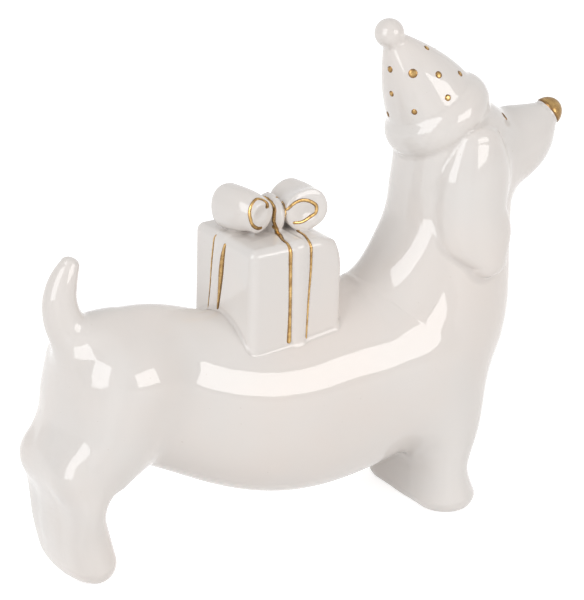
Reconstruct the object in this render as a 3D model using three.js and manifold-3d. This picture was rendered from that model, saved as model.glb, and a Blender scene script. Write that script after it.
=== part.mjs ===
// A glazed porcelain dachshund in a party hat, with a wrapped gift box on its back.
// Millimetres. The dog looks along +X, its left side is +Y and its feet stand on Z = 0.
// Porcelain pieces are luted together, so each keeps a thin seam to the one that carries it.

import * as THREE from 'three';
import { LoftGeometry } from 'three/addons/geometries/LoftGeometry.js';
import { RoundedBoxGeometry } from 'three/addons/geometries/RoundedBoxGeometry.js';
import { mergeVertices } from 'three/addons/utils/BufferGeometryUtils.js';
import Module from 'manifold-3d';

// Walls, seams and paint
const WALL = 3.2;
const SEAM = 0.3;
const LUSTRE = 0.5;
const VENT_DIAMETER = 6;

// Torso: a rounded barrel between a high rump and an upright neck
const NECK_X = 52;
const BODY_LENGTH = 119;
const BODY_SQUARENESS = 2.2;
const RUMP_END_WIDTH = 38;
const RUMP_END_DEPTH = 48;
const RUMP_END_TOP = 75.8;
const RUMP_ROUNDING = 16;
const RUMP_WIDTH = 40;
const RUMP_DEPTH = 46.6;
const RUMP_TOP = 77.9;
const LOIN_WIDTH = 41.6;
const LOIN_DEPTH = 48.6;
const LOIN_TOP = 74.7;
const FLANK_WIDTH = 46.4;
const FLANK_DEPTH = 54.8;
const FLANK_TOP = 71.8;
const BARREL_WIDTH = 49.2;
const BARREL_DEPTH = 59.6;
const BELLY_CLEARANCE = 11.7;
const RIB_WIDTH = 47;
const RIB_DEPTH = 60.2;
const CHEST_WIDTH = 48;
const CHEST_DEPTH = 56.6;
const CHEST_BOTTOM = 17.4;
const SHOULDER_Z = 56.2;
const SHOULDER_WIDTH = 44.4;
const SHOULDER_DEPTH = 56;
const NECK_BASE_Z = 75.8;
const NECK_BASE_WIDTH = 38;
const NECK_BASE_DEPTH = 43.6;
const THROAT_Z = 88.8;
const THROAT_WIDTH = 37.2;
const THROAT_DEPTH = 34.6;
const NECK_Z = 101;
const NECK_WIDTH = 34.8;
const NECK_DEPTH = 37.2;
const SKULL_Z = 113.6;
const SKULL_DIAMETER = 33.6;
const SKULL_ROUNDING = 14;

// Head: the muzzle tapers from the skull to the nose
const MUZZLE_LENGTH = 35;
const MUZZLE_RISE = 2.7;
const SNOUT_WIDTH = 10;
const SNOUT_HEIGHT = 9.4;
const NOSE_ROUNDING = 5.6;
const NOSE_CAP_LENGTH = 7;
const NOSE_CAP_SLOPE = 24;
const NECK_JOINT_Z = 99;
const NECK_JOINT_SLOPE = 29;
const EYE_LENGTH = 3.2;
const EYE_FROM_SKULL = 12.8;
const EYE_SLANT = 0.72;
const EYE_ARC = 60;
const EYE_TURN = 9;

// Ears: curved flaps that hang down the sides of the neck
const EAR_DROP = 37.3;
const EAR_RISE = 3.3;
const EAR_WIDTH = 22.6;
const EAR_THICKNESS = 7;
const EAR_STANDOFF = 1.7;
const EAR_TIP_LENGTH = 4.5;
const LEFT_EAR_FORWARD = 3;

// Tail
const TAIL_LENGTH = 27.4;
const TAIL_SWEEP = 12.1;
const TAIL_DIAMETER = 9.6;
const TAIL_TIP_DIAMETER = 5.4;
const TAIL_ROOT_DIAMETER = 18.8;

// Legs: each pair is joined across by a web
const HIND_STANCE = 21.6;
const HIND_FOOT_SETBACK = 11;
const HIND_FOOT_WIDTH = 14.8;
const HIND_FOOT_LENGTH = 13.4;
const HIND_LEG_DIAMETER = 12;
const HAUNCH_WIDTH = 24.4;
const HAUNCH_DEPTH = 32.4;
const HOCK_SETBACK = 13;
const HOCK_Z = 30.7;
const HOCK_WIDTH = 15;
const HOCK_DEPTH = 19.8;
const HIND_WEB_WIDTH = 24;
const HIND_WEB_FULLNESS = 1.15;
const FRONT_FOOT_INSET = 0.4;
const FRONT_FOOT_SETBACK = 9.6;
const FRONT_FOOT_WIDTH = 21.2;
const FRONT_FOOT_LENGTH = 18;
const FRONT_LEG_WIDTH = 13.6;
const FRONT_LEG_DEPTH = 15.6;
const FRONT_WEB_WIDTH = 27;
const FRONT_WEB_FULLNESS = 0.95;
const LEG_ROOT_ROUNDING = 8;
const HIND_PAD_DEPTH = 0.6;
const FRONT_PAD_DEPTH = 2.4;

// Hat
const HAT_TILT = 32;
const HAT_SETBACK = 2.7;
const HAT_SEAT = 5.6;
const HAT_HEIGHT = 33.4;
const HAT_DIAMETER = 31;
const HAT_TIP_DIAMETER = 7.2;
const HAT_BELLY = 2.5;
const HAT_WALL = 3;
const BRIM_TILT = 29;
const BRIM_LEAN = 7.5;
const BRIM_SETBACK = 4.9;
const BRIM_SEAT = 8.6;
const BRIM_DIAMETER = 24.2;
const BRIM_THICKNESS = 10.2;
const BRIM_HEIGHT = 12.6;
const POMPOM_DIAMETER = 9;
const POMPOM_SINK = 1.5;
const DOT_DIAMETER = 2.5;

// Gift box, ribbons and bow
const BOX_SETBACK = 64.4;
const BOX_LENGTH = 32.6;
const BOX_WIDTH = 32;
const BOX_TOP = 96.1;
const BOX_YAW = 4;
const BOX_LEAN = 0.5;
const BOX_ROLL = 1.8;
const BOX_ROUNDING = 2.6;
const BOX_SEAT = 10;
const BOX_WALL = 3;
const RIBBON_WIDTH = 5.2;
const RIBBON_RISE = 1;
const SIDE_RIBBON_OFFSET = 0.7;
const END_RIBBON_OFFSET = 3.4;
const LINE_WIDTH = 1;
const RIBBON_FOOT = 8;
const REAR_LOOP_SPREAD = 9;
const REAR_LOOP_LENGTH = 11.5;
const REAR_LOOP_HEIGHT = 13.2;
const FRONT_LOOP_SPREAD = 10.2;
const FRONT_LOOP_LENGTH = 13.6;
const FRONT_LOOP_HEIGHT = 11.6;
const BOW_RIBBON_WIDTH = 13.4;
const BOW_RECESS = 1.6;
const BOW_EDGE = 1.3;
const KNOT_WIDTH = 5.2;
const KNOT_HEIGHT = 10.7;
const KNOT_LENGTH = 13;

const GLAZE = { color: 0xe8e2dd, roughness: 0.12, metalness: 0 };
const GOLD = { color: 0xb08d4c, roughness: 0.28, metalness: 1 };

const wasm = await Module();
wasm.setup();

const ACROSS_BODY = new THREE.Vector3(0, 1, 0);
const ALONG_BODY = new THREE.Vector3(1, 0, 0);

// Solids

function bare(geometry) {
  const copy = new THREE.BufferGeometry();
  copy.setAttribute('position', geometry.attributes.position.clone());
  if (geometry.index) copy.setIndex(geometry.index.clone());
  return copy;
}

function solid(geometry) {
  const merged = mergeVertices(bare(geometry), 1e-4);
  const mesh = new wasm.Mesh({
    numProp: 3,
    vertProperties: new Float32Array(merged.attributes.position.array),
    triVerts: new Uint32Array(merged.index.array),
  });
  return new wasm.Manifold(mesh);
}

function surfaceOf(manifold) {
  const mesh = manifold.getMesh();
  const geometry = new THREE.BufferGeometry();
  geometry.setAttribute('position', new THREE.BufferAttribute(mesh.vertProperties, 3));
  geometry.setIndex(new THREE.BufferAttribute(mesh.triVerts, 1));
  geometry.computeVertexNormals();
  return geometry;
}

function block(low, high) {
  const size = high.map((value, axis) => value - low[axis]);
  const geometry = new THREE.BoxGeometry(...size);
  geometry.translate(...low.map((value, axis) => value + size[axis] / 2));
  return geometry;
}

function cut(piece, ...tools) {
  return tools.reduce((left, tool) => left.subtract(tool), piece);
}

// Rows of x, y, z, half width and half height are joined by a smooth curve, spaced by distance

function smoothRows(rows, count) {
  const centres = rows.map((row) => new THREE.Vector3(...row.slice(0, 3)));
  const gaps = centres.slice(1).map((centre, i) => centre.distanceTo(centres[i]));
  const knots = [0];
  gaps.forEach((gap) => knots.push(knots.at(-1) + gap));
  const slope = (i, k) => (rows[i + 1][k] - rows[i][k]) / gaps[i];
  const tangent = (i, k) => {
    if (i === 0) return slope(0, k);
    if (i === rows.length - 1) return slope(i - 1, k);
    return (slope(i - 1, k) * gaps[i] + slope(i, k) * gaps[i - 1]) / (gaps[i - 1] + gaps[i]);
  };
  return Array.from({ length: count }, (_, step) => {
    const distance = (knots.at(-1) * step) / (count - 1);
    let i = 0;
    while (i < gaps.length - 1 && distance > knots[i + 1]) i += 1;
    const u = (distance - knots[i]) / gaps[i];
    return rows[i].map((_value, k) => (
      (2 * u ** 3 - 3 * u ** 2 + 1) * rows[i][k]
      + (u ** 3 - 2 * u ** 2 + u) * gaps[i] * tangent(i, k)
      + (3 * u ** 2 - 2 * u ** 3) * rows[i + 1][k]
      + (u ** 3 - u ** 2) * gaps[i] * tangent(i + 1, k)
    ));
  });
}

// A loft of oval sections along the rows, with rounded ends of the given lengths or flat ones.
// A squareness of 2 gives plain ovals, and more fills out their corners.

const PLAIN_FORM = { across: ACROSS_BODY, grow: 0, squareness: 2, warp: null };

function loft(rows, form) {
  const { sides, rings, ends, across, grow, squareness, warp } = { ...PLAIN_FORM, ...form };
  const fuller = (value) => Math.sign(value) * Math.abs(value) ** (2 / squareness);
  const run = smoothRows(rows, rings);
  const centres = run.map((row) => new THREE.Vector3(row[0], row[1], row[2]));
  const sections = [];
  const addSection = (i, offset, scale) => {
    const before = centres[Math.max(i - 1, 0)];
    const after = centres[Math.min(i + 1, rings - 1)];
    const along = after.clone().sub(before).normalize();
    const side = across.clone().addScaledVector(along, -across.dot(along)).normalize();
    const up = along.clone().cross(side);
    const points = [];
    for (let k = 0; k < sides; k += 1) {
      const angle = (2 * Math.PI * k) / sides;
      const point = centres[i].clone().addScaledVector(along, offset);
      point.addScaledVector(side, (run[i][3] + grow) * scale * fuller(Math.cos(angle)));
      point.addScaledVector(up, (run[i][4] + grow) * scale * fuller(Math.sin(angle)));
      points.push(warp ? warp(point) : point);
    }
    sections.push(points);
  };
  const turns = ends ? [78, 52, 26] : [];
  turns.forEach((turn) => {
    const angle = THREE.MathUtils.degToRad(turn);
    addSection(0, -(ends[0] + grow) * fuller(Math.sin(angle)), fuller(Math.cos(angle)));
  });
  for (let i = 0; i < rings; i += 1) addSection(i, 0, 1);
  turns.reverse().forEach((turn) => {
    const angle = THREE.MathUtils.degToRad(turn);
    addSection(rings - 1, (ends[1] + grow) * fuller(Math.sin(angle)), fuller(Math.cos(angle)));
  });
  return new LoftGeometry(sections, { capStart: true, capEnd: true });
}

function mirrored(geometry) {
  const copy = bare(geometry);
  copy.scale(1, -1, 1);
  const { array } = copy.index;
  for (let i = 0; i < array.length; i += 3) {
    [array[i], array[i + 1]] = [array[i + 1], array[i]];
  }
  return copy;
}

// Torso and head

// Stations are placed along the body by their share of its length, from the rump to the neck
const along = (share) => NECK_X - BODY_LENGTH * (1 - share);
const rumpEndX = along(0);
const barrelX = along(0.496);
const rumpEndZ = RUMP_END_TOP - RUMP_END_DEPTH / 2;
const barrelZ = BELLY_CLEARANCE + BARREL_DEPTH / 2;
const skullX = NECK_X - 0.5;
const trunkRows = [
  [rumpEndX, 0, rumpEndZ, RUMP_END_WIDTH / 2, RUMP_END_DEPTH / 2],
  [along(0.07), 0, RUMP_TOP - RUMP_DEPTH / 2, RUMP_WIDTH / 2, RUMP_DEPTH / 2],
  [along(0.2), 0, LOIN_TOP - LOIN_DEPTH / 2, LOIN_WIDTH / 2, LOIN_DEPTH / 2],
  [along(0.353), 0, FLANK_TOP - FLANK_DEPTH / 2, FLANK_WIDTH / 2, FLANK_DEPTH / 2],
  [barrelX, 0, barrelZ, BARREL_WIDTH / 2, BARREL_DEPTH / 2],
  [along(0.664), 0, barrelZ + 1.7, RIB_WIDTH / 2, RIB_DEPTH / 2],
  [along(0.78), 0, CHEST_BOTTOM + CHEST_DEPTH / 2, CHEST_WIDTH / 2, CHEST_DEPTH / 2],
  [along(0.904), 0, SHOULDER_Z, SHOULDER_WIDTH / 2, SHOULDER_DEPTH / 2],
  [along(0.975), 0, NECK_BASE_Z, NECK_BASE_WIDTH / 2, NECK_BASE_DEPTH / 2],
  [NECK_X, 0, THROAT_Z, THROAT_WIDTH / 2, THROAT_DEPTH / 2],
  [NECK_X + 0.3, 0, NECK_Z, NECK_WIDTH / 2, NECK_DEPTH / 2],
  [skullX, 0, SKULL_Z, SKULL_DIAMETER / 2, SKULL_DIAMETER / 2],
];
const TRUNK_FORM = { sides: 24, rings: 24, ends: [RUMP_ROUNDING, SKULL_ROUNDING], squareness: BODY_SQUARENESS };
const trunkSolid = (grow) => solid(loft(trunkRows, { ...TRUNK_FORM, grow }));
const cavity = solid(loft(trunkRows, { ...TRUNK_FORM, sides: 14, rings: 16, grow: -WALL }));

const snoutX = NECK_X + MUZZLE_LENGTH;
const skullRadius = SKULL_DIAMETER / 2;
const muzzleRows = [
  [NECK_X, 0, SKULL_Z - 5.4, skullRadius - 0.8, skullRadius - 0.3],
  [NECK_X + MUZZLE_LENGTH * 0.29, 0, SKULL_Z - 6.5, skullRadius - 2.7, skullRadius - 1.5],
  [NECK_X + MUZZLE_LENGTH * 0.57, 0, SKULL_Z - 5.2, skullRadius - 5, skullRadius - 4.4],
  [NECK_X + MUZZLE_LENGTH * 0.8, 0, SKULL_Z - 1.6, SNOUT_WIDTH / 2 + 4.6, SNOUT_HEIGHT / 2 + 5],
  [snoutX, 0, SKULL_Z + MUZZLE_RISE, SNOUT_WIDTH / 2, SNOUT_HEIGHT / 2],
];
const MUZZLE_FORM = { sides: 20, rings: 9, ends: [10, NOSE_ROUNDING] };
const muzzleSolid = (grow) => solid(loft(muzzleRows, { ...MUZZLE_FORM, grow }));

// Everything above the sloping neck joint, less a gap below it
function aboveNeckJoint(gap) {
  const reach = 120;
  const geometry = block([-reach, -reach, gap], [reach, reach, 2 * reach]);
  geometry.rotateY(THREE.MathUtils.degToRad(NECK_JOINT_SLOPE));
  geometry.translate(NECK_X, 0, NECK_JOINT_Z);
  const behind = block([-reach, -reach, -reach], [NECK_X - NECK_DEPTH, reach, 2 * reach]);
  return solid(geometry).subtract(solid(behind));
}

const trunk = trunkSolid(0);
const trunkSeam = trunkSolid(SEAM);
const ventRadius = VENT_DIAMETER / 2;
const vent = new THREE.CylinderGeometry(ventRadius, ventRadius, BARREL_DEPTH, 16);
vent.rotateX(Math.PI / 2);
vent.translate(barrelX, 0, BELLY_CLEARANCE);
const torso = cut(trunk, cavity, solid(vent), aboveNeckJoint(-SEAM));

const headForm = trunk.add(muzzleSolid(0));
const headSeam = trunkSeam.add(muzzleSolid(SEAM));
const head = cut(headForm.intersect(aboveNeckJoint(0)), cavity);

// Nose: a gold cap that fits over the end of the snout
const noseCut = block([0, -RUMP_WIDTH, -RUMP_WIDTH], [RUMP_WIDTH, RUMP_WIDTH, RUMP_WIDTH]);
noseCut.rotateY(THREE.MathUtils.degToRad(-NOSE_CAP_SLOPE));
noseCut.translate(snoutX + NOSE_ROUNDING - NOSE_CAP_LENGTH, 0, SKULL_Z + MUZZLE_RISE);
const noseCap = muzzleSolid(SEAM + LUSTRE).subtract(muzzleSolid(SEAM)).intersect(solid(noseCut));

// Eyes: short slanted strokes on the sides of the muzzle, seated on its surface
function onMuzzle(distance, arc, lift) {
  const steps = 60;
  const rows = smoothRows(muzzleRows, steps);
  const row = rows.find((candidate) => candidate[0] >= NECK_X + distance);
  const angle = THREE.MathUtils.degToRad(arc);
  const out = (row[3] + lift) * Math.cos(angle);
  const up = (row[4] + lift) * Math.sin(angle);
  return new THREE.Vector3(row[0], out, row[2] + up);
}
const eyeLift = SEAM + LUSTRE;
const eyeTop = onMuzzle(EYE_FROM_SKULL, EYE_ARC, eyeLift);
const eyeEnd = onMuzzle(EYE_FROM_SKULL + EYE_LENGTH * EYE_SLANT, EYE_ARC - EYE_TURN, eyeLift);
const eyeRows = [eyeTop, eyeEnd].map((point) => [...point.toArray(), LUSTRE, LUSTRE]);
const eyeStroke = loft(eyeRows, { sides: 6, rings: 3, ends: [LUSTRE, LUSTRE] });

// Ears, lofted flat and then wrapped round the neck
const wrapRadius = skullRadius + EAR_STANDOFF;
const wrapRound = (point) => {
  const angle = point.x / wrapRadius;
  const reach = wrapRadius + point.y;
  return new THREE.Vector3(skullX + reach * Math.sin(angle), reach * Math.cos(angle), point.z);
};
const earTop = SKULL_Z + EAR_RISE;
const earHalf = EAR_WIDTH / 2;
const earThick = EAR_THICKNESS / 2;
const earRows = [
  [0.9, -1.4, earTop, earHalf - 4, earThick - 1],
  [0.5, -0.5, earTop - EAR_DROP * 0.22, earHalf - 0.2, earThick - 0.1],
  [-1.7, 0.8, earTop - EAR_DROP * 0.64, earHalf, earThick],
  [-0.1, 2, earTop - EAR_DROP * 0.77, earHalf - 0.4, earThick - 0.5],
  [1.9, 2.1, earTop - EAR_DROP, earHalf - 6.1, earThick - 0.1],
];
const EAR_FORM = { sides: 14, rings: 10, ends: [4, EAR_TIP_LENGTH], across: ALONG_BODY, warp: wrapRound };

function ear(forward) {
  const rows = earRows.map(([x, ...rest]) => [x + forward, ...rest]);
  return loft(rows, EAR_FORM);
}

// Hat

const hatBase = [skullX - HAT_SETBACK, 0, SKULL_Z + HAT_SEAT];
const brimBase = [skullX - BRIM_SETBACK, 0, SKULL_Z + BRIM_SEAT];

function tilted(geometry, tilt, base, lean = 0) {
  geometry.rotateX(Math.PI / 2 - THREE.MathUtils.degToRad(lean));
  geometry.rotateY(THREE.MathUtils.degToRad(-tilt));
  geometry.translate(...base);
  return geometry;
}

const HAT_FORM = { faces: 22, steps: 6, rollTurns: 10 };

const hatRadius = (height) => {
  const t = height / HAT_HEIGHT;
  const straight = HAT_DIAMETER / 2 + (HAT_TIP_DIAMETER / 2 - HAT_DIAMETER / 2) * t;
  return straight + HAT_BELLY * Math.sin(Math.PI * t);
};

function hatCone(inset, low, high) {
  const { faces, steps } = HAT_FORM;
  const profile = [new THREE.Vector2(0, low)];
  for (let i = 0; i <= steps; i += 1) {
    const height = low + ((high - low) * i) / steps;
    profile.push(new THREE.Vector2(hatRadius(Math.max(height, 0)) - inset, height));
  }
  profile.push(new THREE.Vector2(0, high));
  return tilted(new THREE.LatheGeometry(profile, faces), HAT_TILT, hatBase);
}

function brimRoll(grow) {
  const { faces, rollTurns } = HAT_FORM;
  const profile = [];
  for (let i = 0; i <= rollTurns; i += 1) {
    const angle = (2 * Math.PI * (i % rollTurns)) / rollTurns;
    const out = (BRIM_THICKNESS / 2 + grow) * Math.cos(angle);
    const up = (BRIM_HEIGHT / 2 + grow) * Math.sin(angle);
    profile.push(new THREE.Vector2(BRIM_DIAMETER / 2 + out, up));
  }
  return tilted(new THREE.LatheGeometry(profile, faces), BRIM_TILT, brimBase, BRIM_LEAN);
}

const hatFoot = 1;
const hollowTop = HAT_HEIGHT * 0.6;
const brimSeam = solid(brimRoll(SEAM));
const hat = cut(
  solid(hatCone(0, hatFoot, HAT_HEIGHT)),
  solid(hatCone(HAT_WALL, 0, hollowTop)),
  brimSeam,
  headSeam,
);
const brim = cut(solid(brimRoll(0)), headSeam);

const pompomRadius = POMPOM_DIAMETER / 2;
const pompomGeometry = new THREE.SphereGeometry(pompomRadius, 14, 9);
pompomGeometry.translate(0, HAT_HEIGHT + pompomRadius - POMPOM_SINK, 0);
const pompomForm = solid(tilted(pompomGeometry, HAT_TILT, hatBase));
const pompom = cut(pompomForm, solid(hatCone(-SEAM, 0, HAT_HEIGHT + SEAM)));

// Rows of gold dots, each at a share of the hat's height with the bearings of its dots in degrees
const DOT_ROWS = [
  { share: 0.42, bearings: [-40, -86, -136, 169, 117, 66, 14] },
  { share: 0.62, bearings: [-73, -168, 98, 10] },
  { share: 0.78, bearings: [-34, -110, -162, 125, 50] },
];

function hatDot(height, bearing) {
  const radius = DOT_DIAMETER / 2;
  const profile = [[0, 0], [radius, 0], [radius * 0.75, LUSTRE * 0.8], [0, LUSTRE]];
  const geometry = new THREE.LatheGeometry(profile.map((pair) => new THREE.Vector2(...pair)), 8);
  const slope = Math.atan2(hatRadius(height - 1) - hatRadius(height + 1), 2);
  geometry.rotateZ(slope - Math.PI / 2);
  const out = SEAM * Math.cos(slope);
  geometry.translate(hatRadius(height) + out, height + SEAM * Math.sin(slope), 0);
  geometry.rotateY(THREE.MathUtils.degToRad(bearing));
  return tilted(geometry, HAT_TILT, hatBase);
}

// Tail, rooted in the rump

const tailHalf = TAIL_DIAMETER / 2;
const tailTip = TAIL_TIP_DIAMETER / 2;
const tailBase = TAIL_ROOT_DIAMETER / 2;

function tailRow(sweep, rise, halfWidth, halfHeight) {
  const x = rumpEndX - 2.8 - TAIL_SWEEP * sweep;
  return [x, 0, RUMP_END_TOP - 7.1 + TAIL_LENGTH * rise, halfWidth, halfHeight];
}

const tailRows = [
  tailRow(0, 0, tailBase, tailBase + 0.4),
  tailRow(0.74, 0.23, tailHalf + 1.5, tailHalf + 1.7),
  tailRow(1, 0.59, tailHalf, tailHalf + 0.5),
  tailRow(0.83, 0.89, tailHalf - 0.9, tailHalf - 0.8),
  tailRow(0.69, 1, tailTip, tailTip + 0.3),
];
const tailForm = loft(tailRows, { sides: 16, rings: 11, ends: [6, tailTip - 0.6] });
const tail = cut(solid(tailForm), trunkSeam);

// Legs, cut flat where they stand

const hindY = HIND_STANCE / 2;
const hindFootX = rumpEndX - HIND_FOOT_SETBACK;
const hindFootZ = 6.3;
const hindLeg = HIND_LEG_DIAMETER / 2;
const hockX = rumpEndX - HOCK_SETBACK;
const hindRows = [
  [rumpEndX + 2.5, hindY, rumpEndZ - 1, HAUNCH_WIDTH / 2, HAUNCH_DEPTH / 2],
  [rumpEndX - 5.7, hindY, HOCK_Z + 11.7, HAUNCH_WIDTH / 2 - 2.2, HAUNCH_DEPTH / 2 - 5.2],
  [hockX, hindY + 0.7, HOCK_Z, HOCK_WIDTH / 2, HOCK_DEPTH / 2],
  [hockX - 1, hindY + 1.9, HOCK_Z - 5.5, hindLeg + 1.2, hindLeg],
  [hockX, hindY + 1.1, hindFootZ + 8.4, hindLeg - 0.2, hindLeg + 0.4],
  [hindFootX, hindY, hindFootZ, HIND_FOOT_WIDTH / 2, HIND_FOOT_LENGTH / 2],
];
const frontY = (BARREL_WIDTH - FRONT_FOOT_WIDTH) / 2 - FRONT_FOOT_INSET;
const frontFootX = NECK_X - FRONT_FOOT_SETBACK;
const frontFootZ = 3.6;
const frontRows = [
  [frontFootX - 5.2, frontY - 3.2, 45.6, FRONT_LEG_WIDTH / 2 + 2.9, FRONT_LEG_DEPTH / 2 + 7.5],
  [frontFootX + 0.5, frontY, 29.9, FRONT_LEG_WIDTH / 2 + 2.7, FRONT_LEG_DEPTH / 2 + 3.4],
  [frontFootX - 0.4, frontY - 0.7, 11.5, FRONT_LEG_WIDTH / 2, FRONT_LEG_DEPTH / 2],
  [frontFootX, frontY, frontFootZ, FRONT_FOOT_WIDTH / 2, FRONT_FOOT_LENGTH / 2],
];

// A pair of legs with the web between them, which follows the legs below their roots
function legPair(rows, padDepth, webWidth, webFullness) {
  const ends = [LEG_ROOT_ROUNDING, rows.at(-1)[2] + padDepth];
  const leg = loft(rows, { sides: 12, rings: 11, ends });
  const webRow = ([x, , z, , halfDepth]) => [x, 0, z, webWidth / 2, halfDepth * webFullness];
  const web = loft(rows.slice(1).map(webRow), { sides: 16, rings: 9, ends, squareness: 3 });
  const reach = 200;
  const ground = block([-reach, -reach, -reach], [reach, reach, 0]);
  const pair = solid(leg).add(solid(mirrored(leg))).add(solid(web));
  return cut(pair, solid(ground), trunkSeam);
}

const hindLegs = legPair(hindRows, HIND_PAD_DEPTH, HIND_WEB_WIDTH, HIND_WEB_FULLNESS);
const frontLegs = legPair(frontRows, FRONT_PAD_DEPTH, FRONT_WEB_WIDTH, FRONT_WEB_FULLNESS);

// Gift box, built square about its own centre and then set a little askew

const backTop = barrelZ + BARREL_DEPTH / 2;
const boxBottom = backTop - BOX_SEAT;
const boxHeight = BOX_TOP - boxBottom;
const boxTop = boxHeight / 2;

function placed(geometry) {
  geometry.rotateX(THREE.MathUtils.degToRad(BOX_ROLL));
  geometry.rotateY(THREE.MathUtils.degToRad(BOX_LEAN));
  geometry.rotateZ(THREE.MathUtils.degToRad(BOX_YAW));
  geometry.translate(NECK_X - BOX_SETBACK, 0, BOX_TOP - boxHeight / 2);
  return geometry;
}

function boxForm(grow) {
  const size = [BOX_LENGTH + 2 * grow, BOX_WIDTH + 2 * grow, boxHeight + 2 * grow];
  return solid(placed(new RoundedBoxGeometry(...size, 2, BOX_ROUNDING + grow)));
}

const boxSolid = boxForm(0);
const boxSeam = boxForm(SEAM);
const boxCavity = block(
  [BOX_WALL - BOX_LENGTH / 2, BOX_WALL - BOX_WIDTH / 2, -boxHeight],
  [BOX_LENGTH / 2 - BOX_WALL, BOX_WIDTH / 2 - BOX_WALL, boxTop - BOX_WALL],
);
const giftBox = cut(boxSolid, solid(placed(boxCavity)), trunkSeam);

const far = 60;
const bandRise = boxForm(SEAM + RIBBON_RISE).subtract(boxSeam).subtract(trunkSeam);
const lineRise = boxForm(SEAM + LUSTRE).subtract(boxSeam).subtract(trunkSeam);
const ribbonHalf = RIBBON_WIDTH / 2;
const sideLow = SIDE_RIBBON_OFFSET - ribbonHalf;
const sideHigh = SIDE_RIBBON_OFFSET + ribbonHalf;
const lineGap = SEAM + LINE_WIDTH;

const slabX = (low, high) => solid(placed(block([low, -far, -far], [high, far, far])));
const slabY = (low, high, from, to) => solid(placed(block([from, low, -far], [to, high, far])));
const aboveFoot = solid(placed(block([-far, -far, RIBBON_FOOT - boxTop], [far, far, far])));
const bandRelief = bandRise.intersect(aboveFoot);
const lineRelief = lineRise.intersect(aboveFoot);

const rearEnd = sideLow - SEAM - lineGap;
const frontEnd = sideHigh + SEAM + lineGap;
const sideRibbon = bandRelief.intersect(slabX(sideLow, sideHigh));
const endLow = END_RIBBON_OFFSET - ribbonHalf;
const endHigh = END_RIBBON_OFFSET + ribbonHalf;
const rearRibbon = bandRelief.intersect(slabY(endLow, endHigh, -far, rearEnd));
const frontRibbon = bandRelief.intersect(slabY(endLow, endHigh, frontEnd, far));
const sideLine = (low) => lineRelief.intersect(slabX(low, low + LINE_WIDTH));

// The gold lines of the end ribbons stop at the top edge of the box
const endFace = BOX_LENGTH / 2 - BOX_ROUNDING;
const endLine = (low, from, to) => lineRelief.intersect(slabY(low, low + LINE_WIDTH, from, to));

// Bow: two puffed loops and a knot that arches between them, above the top of the box

const bowHalf = BOW_RIBBON_WIDTH / 2;
const REAR_LOOP = { x: -REAR_LOOP_SPREAD, halfLength: REAR_LOOP_LENGTH / 2, rise: REAR_LOOP_HEIGHT / 2 };
const FRONT_LOOP = { x: FRONT_LOOP_SPREAD, halfLength: FRONT_LOOP_LENGTH / 2, rise: FRONT_LOOP_HEIGHT / 2 };

// A loop runs across the box and is fullest behind its middle
function loopRows({ x, halfLength, rise }) {
  const out = Math.sign(x);
  const z = boxTop + rise + SEAM;
  return [
    [x + out * 1.2, bowHalf, z, halfLength - 0.3, rise - 0.4],
    [x + out, bowHalf * 0.25, z + 0.2, halfLength, rise],
    [x - out, -bowHalf * 0.6, z, halfLength - 0.4, rise - 0.8],
    [x - out * 1.6, -bowHalf, z - 0.5, halfLength - 0.9, rise - 1],
  ];
}

const LOOP_FORM = { sides: 16, rings: 6, ends: [1.2, 1.2], across: ALONG_BODY };
const MOUTH_FORM = { sides: 16, rings: 2, ends: null, across: ALONG_BODY };

// The open mouth of a loop at one side of the ribbon, from one depth to another below its edge
function loopMouth(place, side, grow, from, to) {
  const [x, y, z, halfLength, halfRise] = loopRows(place).at(side > 0 ? 0 : -1);
  const depths = side > 0 ? [to, from] : [from, to];
  const rows = depths.map((depth) => [x, y - side * depth, z, halfLength + grow, halfRise + grow]);
  return solid(placed(loft(rows, MOUTH_FORM)));
}

const knotX = SIDE_RIBBON_OFFSET - 0.3;
const knotFoot = boxTop + 3;
const knotShoulder = boxTop + KNOT_HEIGHT * 0.72;
const knotRows = [
  [0, KNOT_LENGTH / 2, knotFoot, KNOT_WIDTH / 2, 1.6],
  [0, KNOT_LENGTH * 0.36, knotShoulder, KNOT_WIDTH / 2, 1.9],
  [0, 0, boxTop + KNOT_HEIGHT - 2, KNOT_WIDTH / 2, 2],
  [0, -KNOT_LENGTH * 0.36, knotShoulder, KNOT_WIDTH / 2, 1.9],
  [0, -KNOT_LENGTH / 2, knotFoot, KNOT_WIDTH / 2, 1.6],
];

function knotForm(grow) {
  const arch = loft(knotRows, { sides: 8, rings: 8, ends: [1.2, 1.2], across: ALONG_BODY, grow });
  const core = new THREE.SphereGeometry(1, 10, 6);
  core.scale(KNOT_WIDTH / 2 + grow, KNOT_LENGTH / 2 - 0.6 + grow, KNOT_HEIGHT / 2 - 1 + grow);
  core.translate(0, 0, boxTop + KNOT_HEIGHT / 2);
  arch.translate(knotX, 0, 0);
  core.translate(knotX, 0, 0);
  return solid(placed(arch)).add(solid(placed(core)));
}

const topSeam = boxForm(2 * SEAM + RIBBON_RISE);
const knotSeam = knotForm(SEAM);
const knot = knotForm(0).subtract(topSeam);
const knotPaint = knotForm(SEAM + LUSTRE).subtract(knotSeam).subtract(topSeam);
const knotClear = knotForm(2 * SEAM + LUSTRE);

function knotLine(sign) {
  const edge = knotX + (sign * KNOT_WIDTH) / 2;
  return knotPaint.intersect(slabX(edge - LINE_WIDTH, edge + LINE_WIDTH));
}

function bowLoop(place) {
  const form = solid(placed(loft(loopRows(place), LOOP_FORM)));
  const mouths = [-1, 1].map((side) => loopMouth(place, side, -BOW_EDGE, -3, BOW_RECESS));
  return cut(form, ...mouths, topSeam, knotClear);
}

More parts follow.
